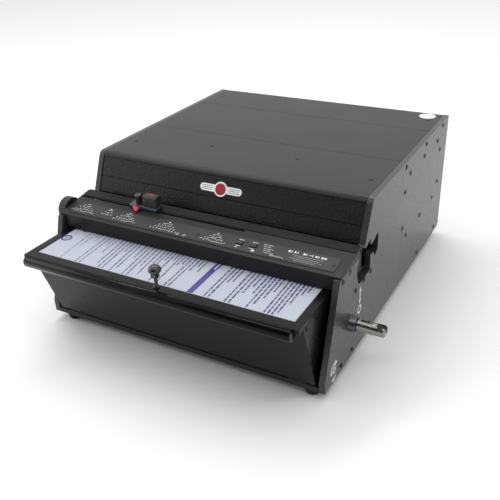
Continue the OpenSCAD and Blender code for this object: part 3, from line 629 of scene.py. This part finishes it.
def button_marks(print_, at, middle_y):
    """Dashes above and below each push button, and the marks under them."""
    v = (low("punch_button").y + high("punch_button").y) / 2 - middle_y
    for name in ("punch_button", "reverse_button"):
        u = (low(name).x + high(name).x) / 2
        print_.bar(at, (u - 3.6, v + 6.2), (u + 3.6, v + 6.2), 1.1, *INK_W)
        print_.bar(at, (u - 3.6, v - 6), (u + 3.6, v - 6), 0.9, *INK_W)
    u = (low("punch_button").x + high("punch_button").x) / 2
    print_.bar(at, (u, v - 6), (u - 1.5, v - 10.5), 1.4, *INK_W)
    print_.bar(at, (u + 20.5, v - 9.6), (u + 24.5, v - 9.6), 3.4, *INK_W)


def overlay_print():
    """White print on the deck's overlay: pictograms, button marks, title and small lines."""
    box_low, box_high = low("control_overlay"), high("control_overlay")
    middle_y = (box_low.y + box_high.y) / 2
    at = deck_frame(0, middle_y, OVERLAY_T)
    overlay_outline(at, box_high.x, (box_high.y - box_low.y) / 2 / math.cos(DECK_SLOPE))

    print_ = Solid()
    for u, spread, rows in PICTOGRAMS:
        pictogram(print_, at, u, spread, rows, 40 + rows + u)
    for u in (-20, -10):
        print_.ring(at, (u, -9), 2.2, 0.6, *INK_W, steps=16)
    button_marks(print_, at, middle_y)
    for i in range(5):
        text_line(print_, at, 97 + 1.5 * i, 13 - i % 2 * 3, 8 - 3.6 * i, 0.9, 11 + i, 3.2)
    print_.disc(at, (114, -9), 1.2, *INK_W)
    print_.bar(at, (116, -9), (131, -9.6), 0.7, *INK_W)
    print_.place("overlay_print", WHITE_PRINT, "chassis", "badge_white", sharp=60)

    title = Solid()
    for i, (width, height) in enumerate(TITLE_BLOCKS):
        if width:
            u = TITLE_START + TITLE_PITCH * i
            title.bar(at, (u, TITLE_V), (u + width, TITLE_V), height, *INK_W)
    title.place("overlay_title", TITLE_PRINT, "chassis", "badge_white", sharp=60)

    small = Solid()
    for i, length in enumerate(SMALL_PRINT_LENGTHS):
        text_line(small, at, SMALL_PRINT_U - length / 2, length, 0.8 - 3.1 * i, 1.1, 30 + i, 1.5)
    small.place("overlay_small_print", GREY_PRINT, "chassis", "badge_white", sharp=60)


# ---------------------------------------------------------------- drawer

# Blocks of lines on the card: x of the first line, pitch, each line's share of the card's depth,
# line width, and slant as millimetres sideways for each millimetre of length
CARD_BLOCKS = (
    (-158, 5, (1.0,), 1.3, 0.1),
    (-149, 5.2, (0.6, 0.25, 0.35), 1.3, 0.05),
    (-130, 6.4, (1.0, 1.0, 0.4, 0.6), 1.6, 0.06),
    (-104, 6.0, (0.9, 1.0, 1.0, 0.45, 1.0, 0.9), 1.9, 0.12),
    (-66, 6.2, (0.55, 1.0, 1.0, 0.7, 0.9), 2.0, 0.12),
    (-34, 5.2, (0.55, 0.6, 0.4, 1.0, 0.35, 1.0), 2.0, 0.1),
    (-2, 5.4, (0.45, 0.4, 1.0, 1.0, 0.5, 0.35, 0.5), 2.1, 0.05),
)
CARD_BOLD_BLOCKS = (
    (66, 5.4, (1.0, 1.0, 0.55, 0.5), 2.3, 0.03),
    (93, 5.6, (1.0, 1.0, 0.72, 0.5), 2.3, 0.03),
    (116, 5.2, (0.65, 1.0, 0.88, 0.7, 0.5), 2.3, 0.03),
    (144, 4.9, (1.0, 1.0, 1.0, 0.93, 0.68, 0.4, 0.3), 2.3, 0.03),
)


def card_line(print_, at, x, length, width, slant, seed):
    """One dashed line, from the rear of the card towards its front."""
    rng = random.Random(seed)
    u = 0.0
    while u < length - 1:
        step = min(rng.uniform(3.5, 11), length - u)
        print_.bar(at, (u, x + slant * u), (u + step, x + slant * (u + step)),
                   width * rng.uniform(0.8, 1.1), *INK_W)
        u += step + rng.uniform(0.8, 1.7)


def card_print():
    """Printed lines and purple marks on the instruction card."""
    corner_low, corner_high = low("instruction_card"), high("instruction_card")
    rear = corner_high.y - 2
    depth = rear - corner_low.y - 3
    at = local_frame((0, rear, corner_high.z), (0, -1, 0), (1, 0, 0))

    for name, ink_, blocks, first_seed in (("card_lines", CARD_PRINT, CARD_BLOCKS, 100),
                                           ("card_bold_lines", CARD_BOLD, CARD_BOLD_BLOCKS, 500)):
        lines = Solid()
        for start, pitch, shares, width, slant in blocks:
            for i, share in enumerate(shares):
                card_line(lines, at, start + i * pitch, depth * share, width, slant,
                          first_seed + start + i)
        lines.place(name, ink_, "drawer", "card_white", sharp=60)

    marks = Solid()
    marks.bar(at, (0, 45), (26, 45.4), 3.4, *INK_W)
    marks.bar(at, (0, 51), (26, 51), 2.6, *INK_W)
    marks.bar(at, (26, 47.6), (depth + 1, 49.2), 8.2, *INK_W)
    marks.ring(at, (38, -179), 8, 3, *INK_W, steps=28)
    marks.bar(at, (34, -179), (42, -179), 2, *INK_W)
    marks.ring(at, (7, -168), 7, 2, *INK_W, steps=28)
    marks.place("card_marks", CARD_PURPLE, "drawer", "card_white", sharp=60)


def domed_head(solid, at, radius, height):
    """Domed screw head on the local u-v plane, let in by 0.3 mm."""
    solid.turned(at, [(0, -0.3), (radius, -0.3), (radius, height * 0.35),
                      (radius * 0.8, height * 0.8), (radius * 0.45, height), (0, height)], 24)


def drawer_screws():
    """A cross-slotted screw on each side of the drawer's lid; the slots are dark bars, painted shade
    standing for their recess.
    """
    lid_low, lid_high = low("drawer_lid"), high("drawer_lid")
    head_radius, head_height, slot_reach = 3.2, 1.3, 2
    heads, slots = Solid(), Solid()
    for side in (-1, 1):
        at = local_frame((side * lid_high.x, lid_low.y + 21, lid_low.z - 6), (0, side, 0), (0, 0, 1))
        domed_head(heads, at, head_radius, head_height)
        # Each slot is a dark bar on the head: painted shade in place of a recess.
        for angle in (20, 110):
            reach = slot_reach * Vector((math.cos(math.radians(angle)), math.sin(math.radians(angle))))
            slots.bar(at, -reach, reach, 0.7, 1.1, 1.36)
    heads.place("drawer_side_screws", MATERIALS["screw_steel"], "drawer", "screw_steel")
    slots.place("drawer_screw_slot_shade", MATERIALS["rubber_black"], "drawer", "screw_steel", sharp=60)


def card_window():
    """Dark raised edge around the card."""
    card_low, card_high = low("instruction_card"), high("instruction_card")
    clearance, edge_w = 0.4, 1.3
    half_x = (card_high.x - card_low.x) / 2 + clearance
    half_y = (card_high.y - card_low.y) / 2 + clearance
    at = local_frame((0, (card_high.y + card_low.y) / 2, card_high.z), (1, 0, 0), (0, 1, 0))
    window = Solid()
    window.loop(at, rounded_outline(half_x, half_y, 1),
                rounded_outline(half_x - edge_w, half_y - edge_w, 0.6), -0.1, 0.5)
    window.place("card_window_edge", MATERIALS["plastic_black"], "drawer", "plastic_black", edge=0.15)


# The drawer knob from its foot to its domed cap, as (radius, height)
KNOB_PROFILE = (
    (0, 0), (4.0, 0), (4.2, 0.4), (4.2, 1.2), (3.6, 2.2), (2.5, 3.2), (2.2, 5),
    (2.2, 12.6), (2.5, 13.3), (4.6, 13.7), (5.3, 14.3), (5.4, 15), (5.4, 19.8),
    (5.8, 20.6), (7.2, 21.1), (7.8, 21.8), (8, 22.8), (8, 23.6), (7.8, 24.8), (7.2, 26.1),
    (6.2, 27.5), (4.8, 28.7), (3, 29.5), (2.6, 29.4), (2.4, 29.1), (0, 29.0),
)


def drawer_knob():
    foot, top = low("drawer_knob"), high("drawer_knob")
    at = local_frame(((foot.x + top.x) / 2, (foot.y + top.y) / 2, foot.z), (1, 0, 0), (0, 1, 0))
    knob = Solid().turned(at, KNOB_PROFILE, 56).place(
        "pull_knob", MATERIALS["knob_black"], "drawer", "knob_black", sharp=50)
    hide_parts("drawer_knob")


# ---------------------------------------------------------------- side guide

THUMB_SCREW_Y = 91              # where the thumb screw's axis meets the deck
SLOT_END_X = (-206, -187)       # the slot's end that the carriage never reaches
SLOT_Y = 90


def guide_block_marks():
    """Red mark on the block's top, and a label with dashes on its front, whose grey, lighter than the
    block, is partly painted light on the front face.
    """
    block_low, block_high = low("guide_block"), high("guide_block")
    top = local_frame((0, 0, block_high.z), (1, 0, 0), (0, 1, 0))
    mark = Solid()
    mark.prism(top, [(block_low.x + 3, block_low.y + 4), (block_high.x - 5, block_low.y + 4),
                     (block_high.x - 8, block_high.y - 4.5), (block_low.x + 5, block_high.y - 4.5)],
               -0.1, 0.35)
    mark.place("guide_block_mark", MARK_RED, "side_guide", "pointer_red", edge=0.15)

    front = local_frame((0, block_low.y, 0), (1, 0, 0), (0, 0, 1))
    left, right = block_low.x + 1.5, block_high.x - 2
    bottom, upper = block_low.z + 3.5, block_high.z - 4
    label = Solid()
    # The label's grey is partly painted light on the block's front face.
    label.prism(front, [(left, bottom), (right, bottom), (right, upper), (left, upper)], -0.1, 0.25)
    label.place("guide_block_label_and_front_light", FRONT_LIGHT_LABEL, "side_guide", "alloy_grey", edge=0.1)
    lines = Solid()
    for i in range(4):
        z = bottom + 1.5 + 1.9 * i
        lines.bar(front, (left + 2.5, z), (right - 2 - 2 * (i % 2), z), 0.5, 0.2, 0.29)
    lines.place("guide_label_lines", MATERIALS["strip_black"], "side_guide", "guide_grey", sharp=60)


def thumb_screw_cap():
    """Alloy cap on the thumb screw's head, square to the deck."""
    screw_low, screw_high = low("guide_thumb_screw"), high("guide_thumb_screw")
    axis_x = (screw_low.x + screw_high.x) / 2
    head_y = (screw_low.y + screw_high.y) / 2 - 1.05
    at = deck_frame(axis_x, THUMB_SCREW_Y)
    top = (at.inverted() @ Vector((axis_x, head_y, screw_high.z))).z
    cap = Solid().turned(at, [(0, top - 2.2), (4.0, top - 2.2), (4.0, top - 0.9),
                              (3.3, top - 0.35), (0, top - 0.3)], 36)
    cap.place("thumb_screw_cap", CAP_ALLOY, "guide_lock", "zinc_steel", sharp=30)


def slot_end_shade():
    """Dark strip under the deck at the slot's end, past the carriage's last place: painted shade that
    keeps the slot's end dark.
    """
    left, right = SLOT_END_X
    shade_strip = Solid()
    shade_strip.prism(deck_frame(0, SLOT_Y), [(left, -6), (right, -6), (right, 6), (left, 6)], -3.2, -2)
    shade_strip.place("slot_end_shade", MATERIALS["strip_black"], "chassis", "rubber_black", edge=0.2)


def threaded_rod():
    """The lead screw with its thread, turned about its own axis."""
    start, end = low("lead_screw"), high("lead_screw")
    length = end.x - start.x
    crest, pitch, end_margin = (end.z - start.z) / 2, 3, 1
    root = crest - 0.6
    at = local_frame((start.x, (start.y + end.y) / 2, (start.z + end.z) / 2), (0, 1, 0), (0, 0, 1))
    profile = [(0, 0), (root, 0)]
    for i in range(int((length - 2 * end_margin) / pitch)):
        w = end_margin + pitch * i
        profile += [(root, w), (crest, w + 0.9), (crest, w + 1.5), (root, w + 2.4)]
    profile += [(root, length), (0, length)]
    rod = Solid().turned(at, profile, 20).place(
        "lead_screw_thread", SCREW_DARK, "guide_drive", "zinc_steel", sharp=40)
    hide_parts("lead_screw")


# ---------------------------------------------------------------- face badge

def badge_print():
    """Plain red disc and short grey dashes on the badge, with no lettering."""
    disc_radius, disc_face, bar_face = 8, 1.0, 0.2      # faces from the badge's mid-plane
    center = (low("badge") + high("badge")) / 2
    up = Vector((0, math.sin(FACE_LEAN), math.cos(FACE_LEAN)))
    outward = Vector((0, -up.z, up.y))
    disc = Solid()
    disc.disc(local_frame(center, (1, 0, 0), up), (0, 0), disc_radius, disc_face - 0.4, disc_face)
    disc.place("badge_disc", BADGE_RED, "chassis", "badge_white", sharp=60)
    bar_top = local_frame(center + bar_face * outward, (1, 0, 0), up)
    dashes = Solid()
    for i, v in enumerate((-2.4, 0, 2.4)):
        text_line(dashes, bar_top, -29 + i % 2, 16, v, 1, 60 + i, 1.6)
        text_line(dashes, bar_top, 13, 16 - i % 2, v, 1, 70 + i, 1.6)
    dashes.place("badge_dashes", GREY_PRINT, "chassis", "badge_white", sharp=60)


# ---------------------------------------------------------------- side plates

def plate_marks():
    """Plain arrows and rings above the clamp shaft and at the toe of the right plate."""
    # u runs to the rear and v upwards, from the plate's lower front corner
    at = local_frame((high("right_side_plate").x, 0, BASE_Z), (0, 1, 0), (0, 0, 1))
    arrows = Solid()
    arrows.bar(at, (107, 71), (107, 84), 2.4, *INK_W)
    arrows.prism(at, [(103.5, 82), (110.5, 82), (107, 90)], *INK_W)
    arrows.prism(at, [(110.5, 72), (103.5, 72), (107, 64.5)], *INK_W)
    arrows.ring(at, (107, 57), 6, 2, *INK_W, steps=28)
    arrows.arc(at, (27, 18), (9, 9), 60, 200, 2.6, *INK_W, 16)
    arrows.prism(at, [(29, 31.5), (36, 25), (28, 21.5)], *INK_W)
    arrows.ring(at, (27, 17), 4.5, 1.8, *INK_W, steps=20)
    arrows.bar(at, (20, 6), (33, 6), 1.7, *INK_W)
    arrows.bar(at, (22, 3), (30, 3), 1.4, *INK_W)
    arrows.place("plate_arrows", TITLE_PRINT, "chassis", "badge_white", sharp=60)


def retaining_ring():
    """Black ring on the clamp shaft, against its bushing."""
    bushing_low, bushing_high = low("clamp_bushing"), high("clamp_bushing")
    at = local_frame((bushing_high.x, (bushing_low.y + bushing_high.y) / 2,
                      (bushing_low.z + bushing_high.z) / 2), (0, 1, 0), (0, 0, 1))
    ring = Solid().ring(at, (0, 0), 9.1, 1.1, 0.35, 1.4, steps=40)
    ring.place("clamp_retaining_ring", MATERIALS["key_black"], "die_clamp", "dark_steel", edge=0.2)


def shade_in_shaft_hole():
    """Dark disc let into the clamp shaft near its end, turned a little to the front: painted shade
    standing for the hole there.
    """
    shaft_low, shaft_high = low("clamp_shaft"), high("clamp_shaft")
    bushing_low, bushing_high = low("clamp_bushing"), high("clamp_bushing")
    radius = (shaft_high.z - shaft_low.z) / 2
    lean = math.radians(35)
    axis = Vector((shaft_high.x - 7, (bushing_low.y + bushing_high.y) / 2,
                   (bushing_low.z + bushing_high.z) / 2))
    seat = axis + radius * Vector((0, -math.sin(lean), math.cos(lean)))
    at = local_frame(seat, (1, 0, 0), (0, math.cos(lean), math.sin(lean)))
    dark_disc = Solid().disc(at, (0, 0), 3.6, -1.2, 0.05, 28)
    dark_disc.place("clamp_shaft_hole_shade", MATERIALS["key_black"], "die_clamp", "dark_steel", sharp=60)


# ---------------------------------------------------------------- rear

def inlet_pins():
    """Three flat pins inside the power inlet."""
    inlet_low, inlet_high = low("power_inlet"), high("power_inlet")
    recess, pin_length, half_w, half_h = 12.2, 9, 1, 2
    at = local_frame(((inlet_low.x + inlet_high.x) / 2, inlet_high.y - recess,
                      (inlet_low.z + inlet_high.z) / 2), (-1, 0, 0), (0, 0, 1))
    pins = Solid()
    for u, v in ((-7, -2), (7, -2), (0, 3)):
        pins.prism(at, [(u - half_w, v - half_h), (u + half_w, v - half_h),
                        (u + half_w, v + half_h), (u - half_w, v + half_h)], -0.2, pin_length)
    pins.place("inlet_pins", MATERIALS["zinc_steel"], "chassis", "zinc_steel", edge=0.3)


finish_nodes()
overlay_print()
card_print()
drawer_screws()
card_window()
drawer_knob()
guide_block_marks()
thumb_screw_cap()
slot_end_shade()
threaded_rod()
badge_print()
plate_marks()
retaining_ring()
shade_in_shaft_hole()
inlet_pins()
